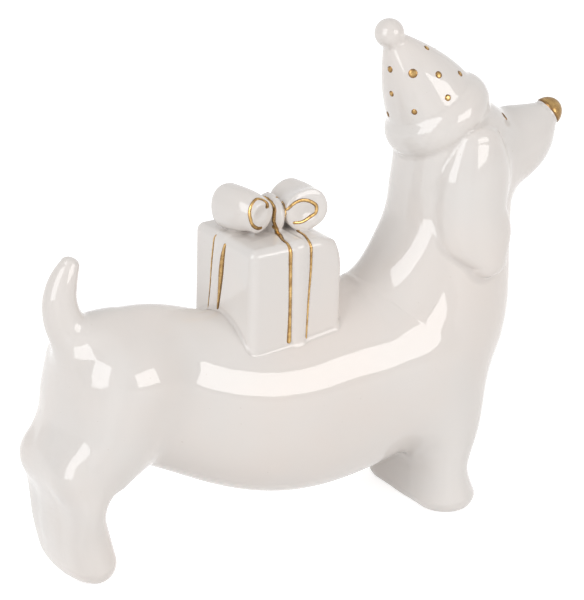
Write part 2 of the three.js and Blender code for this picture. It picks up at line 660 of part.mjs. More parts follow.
// A gold ring that lines one mouth of a loop
function bowRim(place, side) {
  const outside = loopMouth(place, side, -BOW_EDGE - SEAM, -1, BOW_RECESS - SEAM);
  const inside = loopMouth(place, side, -BOW_EDGE - SEAM - LINE_WIDTH, -2, BOW_RECESS);
  return cut(outside, inside, topSeam, knotClear);
}

const group = new THREE.Group();

function addPiece(name, shape, look) {
  const geometry = surfaceOf(shape instanceof THREE.BufferGeometry ? solid(shape) : shape);
  const mesh = new THREE.Mesh(geometry, new THREE.MeshStandardMaterial(look));
  mesh.name = name;
  group.add(mesh);
}

addPiece('torso', torso, GLAZE);
addPiece('head', head, GLAZE);
addPiece('nose_cap', noseCap, GOLD);
addPiece('eye_left', cut(solid(eyeStroke), headSeam), GOLD);
addPiece('eye_right', cut(solid(mirrored(eyeStroke)), headSeam), GOLD);
addPiece('ear_left', cut(solid(ear(LEFT_EAR_FORWARD)), headSeam, brimSeam), GLAZE);
addPiece('ear_right', cut(solid(mirrored(ear(0))), headSeam, brimSeam), GLAZE);
addPiece('tail', tail, GLAZE);
addPiece('hind_legs', hindLegs, GLAZE);
addPiece('front_legs', frontLegs, GLAZE);
addPiece('hat_brim', brim, GLAZE);
addPiece('hat_cone', hat, GLAZE);
addPiece('hat_pompom', pompom, GLAZE);
DOT_ROWS.forEach(({ share, bearings }, row) => {
  bearings.forEach((bearing, i) => {
    addPiece(`hat_dot_${row + 1}_${i + 1}`, hatDot(HAT_HEIGHT * share, bearing), GOLD);
  });
});
addPiece('gift_box', giftBox, GLAZE);
addPiece('ribbon_side', sideRibbon, GLAZE);
addPiece('ribbon_rear', rearRibbon, GLAZE);
addPiece('ribbon_front', frontRibbon, GLAZE);
addPiece('side_line_rear', sideLine(sideLow - lineGap), GOLD);
addPiece('side_line_front', sideLine(sideHigh + SEAM), GOLD);
[['right', endLow - lineGap], ['left', endHigh + SEAM]].forEach(([side, low]) => {
  addPiece(`rear_line_${side}`, endLine(low, -far, -endFace), GOLD);
  addPiece(`front_line_${side}`, endLine(low, endFace, far), GOLD);
});
addPiece('bow_knot', knot, GLAZE);
addPiece('bow_loop_rear', bowLoop(REAR_LOOP), GLAZE);
addPiece('bow_loop_front', bowLoop(FRONT_LOOP), GLAZE);
addPiece('knot_line_rear', knotLine(-1), GOLD);
addPiece('knot_line_front', knotLine(1), GOLD);
[['rear', REAR_LOOP], ['front', FRONT_LOOP]].forEach(([name, place]) => {
  addPiece(`bow_rim_${name}_right`, bowRim(place, -1), GOLD);
  addPiece(`bow_rim_${name}_left`, bowRim(place, 1), GOLD);
});

// The finished dog stands with the middle of its length over the origin
const bounds = new THREE.Box3().setFromObject(group);
group.position.x = -(bounds.min.x + bounds.max.x) / 2;

export default group;
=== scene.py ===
# A glazed porcelain dachshund in a party hat, with a wrapped gift box on its back.
# The forms are in millimetres, as in the CAD part, and every mesh is made in metres.

import itertools
import math

import bpy
import numpy as np
from mathutils import Matrix


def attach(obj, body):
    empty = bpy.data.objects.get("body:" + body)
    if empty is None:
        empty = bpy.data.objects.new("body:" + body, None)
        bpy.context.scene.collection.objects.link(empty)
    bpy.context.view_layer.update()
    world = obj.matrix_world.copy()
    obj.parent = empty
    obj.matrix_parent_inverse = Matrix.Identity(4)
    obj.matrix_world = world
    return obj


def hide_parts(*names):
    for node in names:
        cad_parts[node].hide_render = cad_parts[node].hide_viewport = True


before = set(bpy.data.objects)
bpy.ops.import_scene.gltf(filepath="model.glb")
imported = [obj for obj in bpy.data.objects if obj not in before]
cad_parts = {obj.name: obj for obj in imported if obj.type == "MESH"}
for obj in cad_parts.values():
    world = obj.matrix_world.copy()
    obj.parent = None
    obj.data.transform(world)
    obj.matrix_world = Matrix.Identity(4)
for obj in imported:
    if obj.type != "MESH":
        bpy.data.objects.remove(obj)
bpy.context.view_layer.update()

# The dog is drawn about its own middle, which lies here in the frame
DOG_ORIGIN = np.array([-1.203, 0.0, 0.0])
METRE = 0.001

# Most numbers from here to the bow loops are the output of scratch programs, rounded, which fitted the
# forms to the photograph's outline, edges and highlights. The others were set or changed one by one.

# Body forms: stations of x, y, z, half width and half height, joined by a smooth curve
TRUNK = [
    (-67, 0, 53, 19, 24.7),
    (-58.5, 0, 55.9, 19.6, 24.3),
    (-43, 0, 50.4, 20.6, 24.3),
    (-25, 0, 44.4, 23.2, 27.4),
    (-8, 0, 41.5, 24.6, 29.8),
    (12, 0, 43.2, 23.5, 30.1),
    (25.8, 0, 45.7, 24, 28.3),
    (40.6, 0, 56.2, 22.2, 28),
    (49, 0, 75.8, 19, 21.8),
    (52, 0, 88.8, 18.6, 17.3),
    (52.3, 0, 101, 17.4, 18.6),
    (51.5, 0, 113.6, 16.8, 16.8),
]

# How far each form is rounded beyond its first and its last station
TRUNK_ENDS = (16, 14)

# The power of the trunk's oval, where 2 is an ellipse, and the rounds that even out its stations
TRUNK_SQUARENESS = 2.2
TRUNK_SMOOTHING = 80

# The trunk's upper side at shares of its length: its power, and its height as a share of the lower side's
TRUNK_TOP_SQUARENESS = ((0, 0.12, 0.3, 0.45, 0.65, 0.8, 1), (1.85, 1.85, 2.1, 2.1, 1.9, 2.4, 2.2))
TRUNK_TOP_HEIGHTS = ((0, 0.18, 0.3, 0.45, 0.6, 1), (1, 1, 0.95, 0.95, 1, 1))

# The nape fills the inside of the bend between back and neck
NAPE = [
    (2, 0, 62, 8.5, 9.6),
    (18.6, 0, 64.2, 8.5, 9.8),
    (32.2, 0, 72.6, 9.5, 8.2),
    (39.7, 0, 85.4, 12, 6.8),
    (44, 0, 97, 11.5, 8),
]
NAPE_ENDS = (10, 8)
MUZZLE = [
    (52, 0, 108.2, 16, 16.5),
    (62, 0, 107.1, 14.1, 15.3),
    (72, 0, 108.4, 11.8, 12.4),
    (80, 0, 112, 9.6, 9.7),
    (86.2, 0, 116.3, 4.6, 4.4),
]
MUZZLE_ENDS = (10, 5.2)
TAIL = [
    (-69.8, 0, 68.7, 9.4, 9.8),
    (-78.8, 0, 75.1, 6.3, 6.5),
    (-81.9, 0, 84.8, 4.8, 5.3),
    (-79.8, 0, 93, 3.9, 4),
    (-78.1, 0, 96.1, 2.7, 3),
]
TAIL_ENDS = (6, 2.1)
HIND_LEG = [
    (-65.5, 10.4, 60, 11.8, 14),
    (-72.7, 10.8, 42.4, 10, 11),
    (-80, 11.5, 30.7, 7.5, 9.9),
    (-81, 12.7, 25.2, 7.2, 5.9),
    (-80, 11.9, 14.7, 5.8, 6.4),
    (-78, 10.7, 6.3, 7.4, 6.7),
]
HIND_LEG_ENDS = (13, 6.7)

# The hocks stand proud behind: centre and half size of each
HOCK = ((-84, 9.5, 34.5), (6, 7.5, 6.5))
FRONT_LEG = [
    (37.2, 10.4, 45.6, 9.7, 15.3),
    (42.9, 13.6, 29.9, 9.5, 11.2),
    (41.8, 13.2, 11.5, 9.6, 7),
    (42.4, 13.7, 3.6, 10.2, 9),
]
FRONT_LEG_ENDS = (8, 6)

# The web between each pair of legs: half width, and depth as a share of the legs' own
HIND_WEB = (12, 1.15)
FRONT_WEB = (13.5, 0.95)
WEB_SQUARENESS = 3

# An ear is a flat form wrapped round an upright axis. Its stations are the distance round the axis,
# the distance outwards, the height, half width and half thickness.
EAR = [
    (0.9, -1.4, 116.9, 7.3, 2.5),
    (0.5, -0.5, 108.6, 11.1, 3.4),
    (-1.6, 0.8, 93, 10.7, 3.4),
    (-0.1, 2, 88.2, 10.9, 3),
    (1.9, 2.1, 79.6, 5.2, 3.4),
]
EAR_ENDS = (4, 4.5)
EAR_AXIS_X = 51.5
EAR_RADIUS = 18.5

# An ear ends this far past its axis, and the left one hangs this much further forward
EAR_FAR_SIDE = 2
LEFT_EAR_FORWARD = 4

# Party hat, where each base is x and z on the dog's middle plane
HAT_BASE = (48.8, 119.2)
HAT_TILT = 32
HAT_RADIUS = 15.5
HAT_HEIGHT = 33.4
HAT_TIP_RADIUS = 3.6
HAT_BELLY = 2.5
HAT_DEPTH = 4
BRIM_BASE = (46.6, 122.2)
BRIM_TILT = 29
BRIM_LEAN = 7.5
BRIM_RADIUS = 12
BRIM_ROLL = 5.1
BRIM_FLATNESS = 1.24
POMPOM_HEIGHT = 36.4
POMPOM_RADIUS = 4.5

# Gift box, turned and leaned about its own centre
BOX_CENTRE = np.array([-12.4, 0, 79.2])
BOX_HALF = np.array([16.3, 16, 16.9])
BOX_YAW = 4
BOX_LEAN = 0.5
BOX_ROLL = -1.8
BOX_ROUNDING = 2.6
BOX_WORN_EDGE = 2
RIBBON_HALF = 3.2
RIBBON_RISE = 0.5
SIDE_RIBBON_X = 0.8
END_RIBBON_Y = 3.9
END_RIBBON_SLANT = -0.13
BOX_TOP = BOX_HALF[2]

# Bow loops, in the box's own frame
LOOP_REAR = [
    (-10.2, 6.5, BOX_TOP + 6.8, 5.7, 6.8),
    (-9.7, 1.5, BOX_TOP + 7.2, 5.8, 6.7),
    (-7.7, -4, BOX_TOP + 7.3, 5.2, 5.6),
    (-7.1, -6.5, BOX_TOP + 6.5, 4.6, 5.2),
]
LOOP_FRONT = [
    (10.6, 6.5, BOX_TOP + 6, 6.2, 5),
    (11.6, 1.5, BOX_TOP + 5.5, 6.6, 5.5),
    (9, -4, BOX_TOP + 5.8, 7.2, 5.4),
    (8.9, -6.5, BOX_TOP + 6.1, 6.9, 6.1),
]
LOOP_ENDS = (4, 1)
LOOP_SQUARENESS = 2.2
KNOT_CENTRE = (0.4, 0, BOX_TOP + 4.5)
KNOT_HALF = (2.8, 6.5, 6.2)

# The hollow in the mouth of each loop: centre and half size
MOUTHS = [
    ((-6.4, -8.4, BOX_TOP + 7.3), (4.4, 2, 3.8)),
    ((7.8, -8.6, BOX_TOP + 6.1), (4.6, 2, 3.2)),
    ((-10.2, 11.4, BOX_TOP + 6.4), (3.6, 2.4, 3.8)),
    ((10.8, 11.4, BOX_TOP + 5.4), (4, 2.4, 3)),
]

# How softly the luted pieces run into each other
SOFT = {
    "nape": 7,
    "hock": 3,
    "muzzle": 5,
    "hind": 9,
    "front": 10,
    "tail": 6,
    "ear": 3.2,
    "hat": 0.9,
    "pompom": 1.2,
    "web": 3,
    "foot": 1,
    "box": 1.2,
    "bow": 0.8,
    "ribbon": 0.5,
    "mouth": 1.6,
    "worn edge": 6,
}

# The neck joint, where the head is luted to the torso: x and z, and its slope in degrees
NECK_JOINT = (52, 99)
NECK_JOINT_SLOPE = 29

BODY_STEP = 0.8
GIFT_STEP = 0.4
NOSE_STEP = 0.35

# The corners of the lattice that each skin is found in
BODY_SPACE = (-96, -34, -3), (96, 34, 160)
GIFT_SPACE = (-40, -24, 58), (18, 24, 116)
NOSE_SPACE = (80, -9, 104), (96, 9, 126)


# Distance forms: every function below takes points as rows and gives how far each lies outside

def smooth_run(rows, count):
    """Rows at even distances on a smooth curve through the given rows, and those distances."""
    rows = np.asarray(rows, float)
    gaps = np.linalg.norm(np.diff(rows[:, :3], axis=0), axis=1)
    knots = np.concatenate([[0], np.cumsum(gaps)])
    slopes = np.diff(rows, axis=0) / gaps[:, None]
    tangents = np.empty_like(rows)
    tangents[0], tangents[-1] = slopes[0], slopes[-1]
    before, after = gaps[:-1, None], gaps[1:, None]
    tangents[1:-1] = (slopes[:-1] * after + slopes[1:] * before) / (before + after)
    run = np.linspace(0, knots[-1], count)
    at = np.clip(np.searchsorted(knots, run, side="right") - 1, 0, len(rows) - 2)
    gap = gaps[at][:, None]
    u = (run - knots[at])[:, None] / gap
    start = (2 * u**3 - 3 * u**2 + 1) * rows[at] + (u**3 - 2 * u**2 + u) * gap * tangents[at]
    end = (3 * u**2 - 2 * u**3) * rows[at + 1] + (u**3 - u**2) * gap * tangents[at + 1]
    return start + end, run


def between(values, at, share):
    """Values part of the way from one row to the next."""
    return values[at] * (1 - share)[:, None] + values[at + 1] * share[:, None]


class Loft:
    """A smooth oval form along a line of stations, with rounded ends."""

    REACH = 14
    BATCH = 60000
    LEAST_ROWS = 8
    ROUNDS = 4
    LEAST_STRETCH = 0.4

    def __init__(self, rows, ends, across=(0, 1, 0), power=2.0, top=None, smoothing=10):
        stations = np.asarray(rows, float)
        length = np.linalg.norm(np.diff(stations[:, :3], axis=0), axis=1).sum()
        run, self.run = smooth_run(stations, max(self.LEAST_ROWS, int(length) + 1))
        for _ in range(smoothing):
            run[1:-1] = (run[:-2] + 2 * run[1:-1] + run[2:]) / 4
        self.centre = run[:, :3]
        self.size = run[:, 3:5]
        along = np.gradient(self.centre, self.run, axis=0)
        along /= np.linalg.norm(along, axis=1)[:, None]
        across = np.asarray(across, float)
        side = across - (along @ across)[:, None] * along
        side /= np.linalg.norm(side, axis=1)[:, None]
        self.along, self.side, self.up = along, side, np.cross(side, along)
        self.bend = np.gradient(along, self.run, axis=0)
        self.ends = ends
        self.power = power
        self.top_powers, self.top_heights = top or (((0, 1), (power, power)), ((0, 1), (1, 1)))
        reach = max(self.size.max(), *ends)
        self.low = self.centre.min(0) - reach
        self.high = self.centre.max(0) + reach

    def __call__(self, points):
        outside = np.maximum(np.maximum(self.low - points, points - self.high), 0)
        distance = np.linalg.norm(outside, axis=1)
        near = np.flatnonzero(distance < self.REACH)
        for start in range(0, len(near), self.BATCH):
            batch = near[start:start + self.BATCH]
            distance[batch] = self.close(points[batch])
        return distance

    def close(self, points):
        """The distance of points near the form, each set against its nearest place on the line."""
        gap = (self.centre**2).sum(1) - 2 * points @ self.centre.T
        nearest = gap.argmin(1)
        offset = points - self.centre[nearest]
        run = self.run[nearest] + (offset * self.along[nearest]).sum(1)
        for _ in range(self.ROUNDS):
            at, share = self.locate(run)
            offset = points - between(self.centre, at, share)
            ahead = (offset * between(self.along, at, share)).sum(1)
            stretch = 1 - (offset * between(self.bend, at, share)).sum(1)
            held = np.clip(run, 0, self.run[-1])
            run = held + ahead / np.where(held == run, np.maximum(stretch, self.LEAST_STRETCH), 1)
        at, share = self.locate(run)
        beyond = run - np.clip(run, 0, self.run[-1])
        offset = points - between(self.centre, at, share)
        size = between(self.size, at, share)
        end = np.where(beyond < 0, *self.ends)
        side = (offset * between(self.side, at, share)).sum(1)
        up = (offset * between(self.up, at, share)).sum(1)
        height = size[:, 1] * np.where(up < 0, np.interp(run / self.run[-1], *self.top_heights), 1)
        half = np.stack([size[:, 0], height, end], 1)
        ratio = np.abs(np.stack([side, up, beyond], 1)) / half
        top = np.clip(-2 * up / height, 0, 1)
        top = top * top * (3 - 2 * top)
        power = self.power + top * (np.interp(run / self.run[-1], *self.top_powers) - self.power)
        bent = ratio ** (power - 1)[:, None]
        level = ((bent * ratio).sum(1) + 1e-12) ** (1 / power)
        slope = np.sqrt(((bent / half) ** 2).sum(1)) * level ** (1 - power)
        return (level - 1) / np.maximum(slope, 1e-6)

    def locate(self, run):
        """The row before each distance along the line, and the share of the way to the next."""
        spot = np.clip(run, 0, self.run[-1]) / self.run[-1] * (len(self.run) - 1)
        at = np.minimum(spot.astype(int), len(self.run) - 2)
        return at, spot - at


def soft_box(points, centre, half, rounding):
    """A box with rounded edges."""
    past = np.abs(points - np.asarray(centre)) - (np.asarray(half) - rounding)
    return np.linalg.norm(np.maximum(past, 0), axis=1) + np.minimum(past.max(1), 0) - rounding


def join(a, b, softness):
    """Both forms as one, with a fillet where they meet."""
    near = np.maximum(softness - np.abs(a - b), 0) / softness
    return np.minimum(a, b) - near * near * softness * 0.25


def carve(a, b, softness):
    """The part that two forms share, with a rounded edge."""
    return -join(-a, -b, softness)


def mirrored(rows):
    return [(row[0], -row[1], *row[2:]) for row in rows]


def turned(first, second, degrees):
    """Two coordinates in axes turned by an angle."""
    angle = math.radians(degrees)
    cosine, sine = math.cos(angle), math.sin(angle)
    return first * cosine + second * sine, second * cosine - first * sine


def in_hat(points, base, tilt, lean=0):
    """Points in the hat's own axes, with z up the cone."""
    x, z = turned(points[:, 0] - base[0], points[:, 2] - base[1], tilt)
    z, y = turned(z, points[:, 1], lean)
    return x, y, z


def web_form(leg, ends, web):
    """The web between a pair of legs, from their second station down."""
    half_width, share = web
    rows = [(x, 0, z, half_width, depth * share) for x, _, z, _, depth in leg[1:]]
    return Loft(rows, ends, power=WEB_SQUARENESS)


trunk_top = (TRUNK_TOP_SQUARENESS, TRUNK_TOP_HEIGHTS)
trunk_loft = Loft(TRUNK, TRUNK_ENDS, power=TRUNK_SQUARENESS, top=trunk_top, smoothing=TRUNK_SMOOTHING)
nape_form = Loft(NAPE, NAPE_ENDS)
muzzle_form = Loft(MUZZLE, MUZZLE_ENDS)
tail_form = Loft(TAIL, TAIL_ENDS)
hind_forms = [Loft(rows, HIND_LEG_ENDS) for rows in (HIND_LEG, mirrored(HIND_LEG))]
hind_forms.append(web_form(HIND_LEG, HIND_LEG_ENDS, HIND_WEB))
front_forms = [Loft(rows, FRONT_LEG_ENDS) for rows in (FRONT_LEG, mirrored(FRONT_LEG))]
front_forms.append(web_form(FRONT_LEG, FRONT_LEG_ENDS, FRONT_WEB))
ear_form = Loft(EAR, EAR_ENDS, across=(1, 0, 0))
loop_forms = {
    "rear": Loft(LOOP_REAR, LOOP_ENDS, across=(1, 0, 0), power=LOOP_SQUARENESS),
    "front": Loft(LOOP_FRONT, LOOP_ENDS, across=(1, 0, 0.3), power=LOOP_SQUARENESS),
}


def trunk_form(points):
    return join(trunk_loft(points), nape_form(points), SOFT["nape"])


def ear(points, side):
    """The left ear for side 1 and the right one for side -1."""
    x, y = points[:, 0] - EAR_AXIS_X, points[:, 1] * side
    round_axis = np.arctan2(x, y) * EAR_RADIUS - (LEFT_EAR_FORWARD if side > 0 else 0)
    flat = np.stack([round_axis, np.hypot(x, y) - EAR_RADIUS, points[:, 2]], 1)
    distance = ear_form(flat)
    return np.where(y < -EAR_FAR_SIDE, np.maximum(distance, Loft.REACH), distance)


def hock(points, side):
    centre, half = HOCK
    return egg(points * (1, side, 1), centre, half)


def joined_legs(forms, points):
    left, right, web = (form(points) for form in forms)
    return join(join(left, right, SOFT["web"]), web, SOFT["web"])


def hind_legs(points):
    distance = joined_legs(hind_forms, points)
    for side in (1, -1):
        distance = join(distance, hock(points, side), SOFT["hock"])
    return distance


def front_legs(points):
    return joined_legs(front_forms, points)


def hat_radius(height):
    share = np.clip(height / HAT_HEIGHT, 0, 1)
    return HAT_RADIUS + (HAT_TIP_RADIUS - HAT_RADIUS) * share + HAT_BELLY * np.sin(np.pi * share)


def cone(points):
    x, y, z = in_hat(points, HAT_BASE, HAT_TILT)
    slope = math.cos(math.atan((HAT_RADIUS - HAT_TIP_RADIUS) / HAT_HEIGHT))
    side = (np.hypot(x, y) - hat_radius(z)) * slope
    return np.maximum(side, np.maximum(z - HAT_HEIGHT, -z - HAT_DEPTH))


def brim(points):
    x, y, z = in_hat(points, BRIM_BASE, BRIM_TILT, BRIM_LEAN)
    return np.hypot(np.hypot(x, y) - BRIM_RADIUS, z / BRIM_FLATNESS) - BRIM_ROLL


def pompom(points):
    x, y, z = in_hat(points, HAT_BASE, HAT_TILT)
    return np.sqrt(x**2 + y**2 + (z - POMPOM_HEIGHT) ** 2) - POMPOM_RADIUS


def dog(points):
    distance = join(trunk_form(points), muzzle_form(points), SOFT["muzzle"])
    distance = join(distance, hind_legs(points), SOFT["hind"])
    distance = join(distance, front_legs(points), SOFT["front"])
    distance = join(distance, tail_form(points), SOFT["tail"])
    distance = carve(distance, -points[:, 2], SOFT["foot"])
    for side in (1, -1):
        distance = join(distance, ear(points, side), SOFT["ear"])
    hat = join(join(cone(points), brim(points), SOFT["hat"]), pompom(points), SOFT["pompom"])
    return join(distance, hat, SOFT["hat"])


def in_box(points):
    """Points in the gift box's own axes, from its centre."""
    x, y, z = (points - BOX_CENTRE).T
    x, y = turned(x, y, BOX_YAW)
    x, z = turned(x, z, -BOX_LEAN)
    y, z = turned(y, z, -BOX_ROLL)
    return np.stack([x, y, z], 1)


def out_of_box(q):
    """Points of the gift box's own axes, back in the dog's."""
    x, y, z = np.asarray(q, float).T
    y, z = turned(y, z, BOX_ROLL)
    x, z = turned(x, z, BOX_LEAN)
    x, y = turned(x, y, -BOX_YAW)
    return np.stack([x, y, z], 1) + BOX_CENTRE


def box(q):
    sharp = soft_box(q, (0, 0, 0), BOX_HALF, BOX_ROUNDING)
    worn = (q[:, 0] + q[:, 2] - BOX_HALF[0] - BOX_HALF[2]) / math.sqrt(2) + BOX_WORN_EDGE
    return carve(sharp, worn, SOFT["worn edge"])


def side_ribbon(q):
    half = (RIBBON_HALF, BOX_HALF[1] + RIBBON_RISE, BOX_HALF[2] + RIBBON_RISE)
    return soft_box(q, (SIDE_RIBBON_X, 0, 0), half, BOX_ROUNDING)


def end_ribbon(q):
    half = (BOX_HALF[0] + RIBBON_RISE, RIBBON_HALF, BOX_HALF[2] + RIBBON_RISE)
    aside = END_RIBBON_Y + END_RIBBON_SLANT * q[:, 2]
    flat = soft_box(q - np.stack([0 * aside, aside, 0 * aside], 1), (0, 0, 0), half, BOX_ROUNDING)
    return carve(flat, box(q) - RIBBON_RISE, SOFT["ribbon"])


def egg(q, centre, half):
    scaled = (q - np.array(centre)) / np.array(half)
    return (np.linalg.norm(scaled, axis=1) - 1) * min(half)


def knot(q):
    return egg(q, KNOT_CENTRE, KNOT_HALF)


def loops(q):
    distance = np.minimum(loop_forms["rear"](q), loop_forms["front"](q))
    for mouth in MOUTHS:
        distance = carve(distance, -egg(q, *mouth), SOFT["mouth"])
    return distance


def gift(points):
    q = in_box(points)
    distance = join(box(q), side_ribbon(q), SOFT["ribbon"])
    distance = join(distance, end_ribbon(q), SOFT["ribbon"])
    bow = join(loops(q), knot(q), SOFT["ribbon"])
    return join(distance, bow, SOFT["bow"])


def gift_on_back(points):
    return join(gift(points), dog(points), SOFT["box"])


# Meshing: a quad mesh through the lattice cells that a surface crosses, eased onto the form

COARSE = 4
EASING_ROUNDS = 3

# Values this near to the surface, in coarse steps, are worked out in full
NEAR_SURFACE = 1.2

# A point moves onto a form as if its slope were never less than the root of this
LEAST_SLOPE = 0.05

# A crease is found this far to each side, and its painted shade starts at this hollowness
HOLLOW_REACH = 1.5
CREASE = 0.15

# Where the gift's skin lies nearer than this to the dog's own skin, it is left out
GIFT_CLEARANCE = 0.03


def sample(form, low, high, step):
    """Form values on a lattice, worked out in full only near the surface."""
    count = np.ceil((high - low) / step).astype(int) + 1
    axes = [low[i] + step * COARSE * np.arange(count[i] // COARSE + 2) for i in range(3)]
    grid = np.stack(np.meshgrid(*axes, indexing="ij"), -1)
    values = form(grid.reshape(-1, 3)).reshape(grid.shape[:3])
    for axis in range(3):
        spot = np.arange(count[axis]) / COARSE
        at = spot.astype(int)
        share = (spot - at).reshape([-1 if i == axis else 1 for i in range(3)])
        values = values.take(at, axis) * (1 - share) + values.take(at + 1, axis) * share
    near = np.abs(values) < NEAR_SURFACE * COARSE * step
    values[near] = form(low + step * np.argwhere(near))
    return values


def crossing_mesh(values, low, step):
    """Corners and quads of the surface where the values change sign."""
    inside = values < 0
    cells = np.array(values.shape) - 1
    place = np.zeros((*cells, 3))
    count = np.zeros(cells)

    def corner(array, at):
        return array[tuple(slice(at[i], cells[i] + at[i]) for i in range(3))]

    for start, axis in itertools.product(itertools.product((0, 1), repeat=3), range(3)):
        if start[axis]:
            continue
        stop = tuple(1 if i == axis else start[i] for i in range(3))
        a, b = corner(values, start), corner(values, stop)
        crosses = (a < 0) != (b < 0)
        share = np.where(crosses, a / np.where(crosses, a - b, 1), 0)
        for i in range(3):
            place[..., i] += np.where(crosses, start[i] + (share if i == axis else 0), 0)
        count += crosses
    used = count > 0
    index = np.full(count.shape, -1)
    index[used] = np.arange(used.sum())
    verts = (np.argwhere(used) + place[used] / count[used][:, None]) * step + low
    quads = []
    for axis in range(3):
        first = [slice(1, n - 1) for n in values.shape]
        first[axis] = slice(0, values.shape[axis] - 1)
        second = list(first)
        second[axis] = slice(1, values.shape[axis])
        a, b = inside[tuple(first)], inside[tuple(second)]
        one, two = (axis + 1) % 3, (axis + 2) % 3
        for leaving in (True, False):
            edges = np.argwhere(a & ~b if leaving else ~a & b)
            edges[:, one] += 1
            edges[:, two] += 1
            ring = []
            for shift in ((-1, -1), (0, -1), (0, 0), (-1, 0)):
                cell = edges.copy()
                cell[:, one] += shift[0]
                cell[:, two] += shift[1]
                ring.append(index[tuple(cell.T)])
            quads.append(np.stack(ring if leaving else ring[::-1], 1))
    return verts, np.concatenate(quads)


def slope(form, points, reach=0.25):
    """The form's value, its slope and its curving at each point."""
    middle = form(points)
    slopes = np.empty_like(points)
    curving = -6 * middle
    for i in range(3):
        step = np.zeros(3)
        step[i] = reach
        ahead, behind = form(points + step), form(points - step)
        slopes[:, i] = (ahead - behind) / (2 * reach)
        curving += ahead + behind
    return middle, slopes, curving / reach**2


def onto(form, points, rounds=2):
    """Moves points along the slope until they lie on the form."""
    for _ in range(rounds):
        value, slopes, _ = slope(form, points)
        points = points - slopes * (value / np.maximum((slopes**2).sum(1), LEAST_SLOPE))[:, None]
    return points


def eased(verts, quads, form):
    """Evens out the corners along the surface and sets them on it."""
    ends = np.concatenate([quads, np.roll(quads, -1, axis=1)], 1).reshape(-1, 2, 4)
    a, b = ends[:, 0].ravel(), ends[:, 1].ravel()
    share = np.bincount(a, minlength=len(verts))[:, None]
    for _ in range(EASING_ROUNDS):
        total = np.stack([np.bincount(a, verts[b, i], len(verts)) for i in range(3)], 1)
        verts = onto(form, 0.5 * verts + 0.5 * total / np.maximum(share, 1), 1)
    return onto(form, verts, 1)


def skin(form, space, step):
    """Corners, quads, normals and curving of a form's surface."""
    low, high = np.array(space, float)
    verts, quads = crossing_mesh(sample(form, low, high, step), low, step)
    verts = eased(verts, quads, form)
    _, slopes, _ = slope(form, verts)
    _, _, curving = slope(form, verts, HOLLOW_REACH)
    normals = slopes / np.linalg.norm(slopes, axis=1)[:, None]
    return verts, quads, normals, curving


def make_piece(name, verts, faces, normals, shade, material, node, material_slot):
    """A visible piece in place of one CAD node, riding on the body."""
    mesh = bpy.data.meshes.new(name)
    mesh.from_pydata(((verts + DOG_ORIGIN) * METRE).tolist(), [], faces.tolist())
    mesh.polygons.foreach_set("use_smooth", np.ones(len(faces), bool))
    mesh.normals_split_custom_set_from_vertices(normals.tolist())
    attribute = mesh.attributes.new("shade", "FLOAT", "POINT")
    attribute.data.foreach_set("value", shade.astype(np.float32))
    mesh.materials.append(material)
    piece = bpy.data.objects.new(name, mesh)
    bpy.context.collection.objects.link(piece)
    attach(piece, "root")
    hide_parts(node)


def split_skin(surface, owners, material, keep=None):
    """Makes one piece for each owner from the faces that lie nearest to it."""
    verts, quads, normals, curving = surface
    centres = verts[quads].mean(1)
    names = list(owners)
    nearest = np.argmin([owners[name](centres) for name in names], axis=0)
    kept = np.ones(len(quads), bool) if keep is None else keep(centres)
    # Painted shade in creases, partly also glaze pooling, grows with how hollow the skin is
    hollow = np.clip((-curving - CREASE) / CREASE, 0, 1)
    for i, name in enumerate(names):
        faces = quads[(nearest == i) & kept]
        used, faces = np.unique(faces, return_inverse=True)
        faces = faces.reshape(-1, 4)
        parts = verts[used], faces, normals[used], hollow[used]
        make_piece(f"{name}_glazed", *parts, material, name, "glazed_porcelain")


# Materials

def add_node(tree, kind, **settings):
    node = tree.nodes.new(kind)
    for key, value in settings.items():
        if key in node.inputs:
            node.inputs[key].default_value = value
        else:
            setattr(node, key, value)
    return node


def noise(tree, coordinates, scale, detail):
    node = add_node(tree, "ShaderNodeTexNoise", Scale=scale, Detail=detail)
    tree.links.new(coordinates, node.inputs["Vector"])
    return node.outputs["Fac"]


def ramp(tree, factor, stops):
    """Turns a factor into the value between the stops."""
    node = tree.nodes.new("ShaderNodeValToRGB")
    for i, (position, value) in enumerate(stops):
        element = node.color_ramp.elements[i] if i < 2 else node.color_ramp.elements.new(position)
        element.position = position
        element.color = (value, value, value, 1)
    tree.links.new(factor, node.inputs["Fac"])
    return node.outputs["Color"]


def blend_colours(tree, factor, first, second):
    node = add_node(tree, "ShaderNodeMix", data_type="RGBA")
    factor_socket, first_socket, second_socket = (node.inputs[i] for i in (0, 6, 7))
    for socket, value in ((factor_socket, factor), (first_socket, first), (second_socket, second)):
        if isinstance(value, bpy.types.NodeSocket):
            tree.links.new(value, socket)
        else:
            socket.default_value = value
    return node.outputs[2]


def shade_of(tree):
    """Painted shade in creases on porcelain, partly also glaze pooling; on gold, how near a stroke's edge
    lies, raised on pieces that are darkened all over.
    """
    node = tree.nodes.new("ShaderNodeAttribute")
    node.attribute_name = "shade"
    return node.outputs["Fac"]


def new_material(name):
    material = bpy.data.materials.new(name)
    material.use_nodes = True
    tree = material.node_tree
    shader = tree.nodes["Principled BSDF"]
    coordinates = tree.nodes.new("ShaderNodeTexCoord").outputs["Object"]
    return material, tree, shader, coordinates


GLAZE_WARM = (0.82, 0.755, 0.708, 1)
GLAZE_COOL = (0.795, 0.76, 0.73, 1)
# The crease colour: painted shade, partly also glaze pooling
GLAZE_POOLED_AND_SHADED = (0.62, 0.575, 0.54, 1)
SPECK = (0.62, 0.55, 0.48, 1)
GLAZE_IOR = 1.52


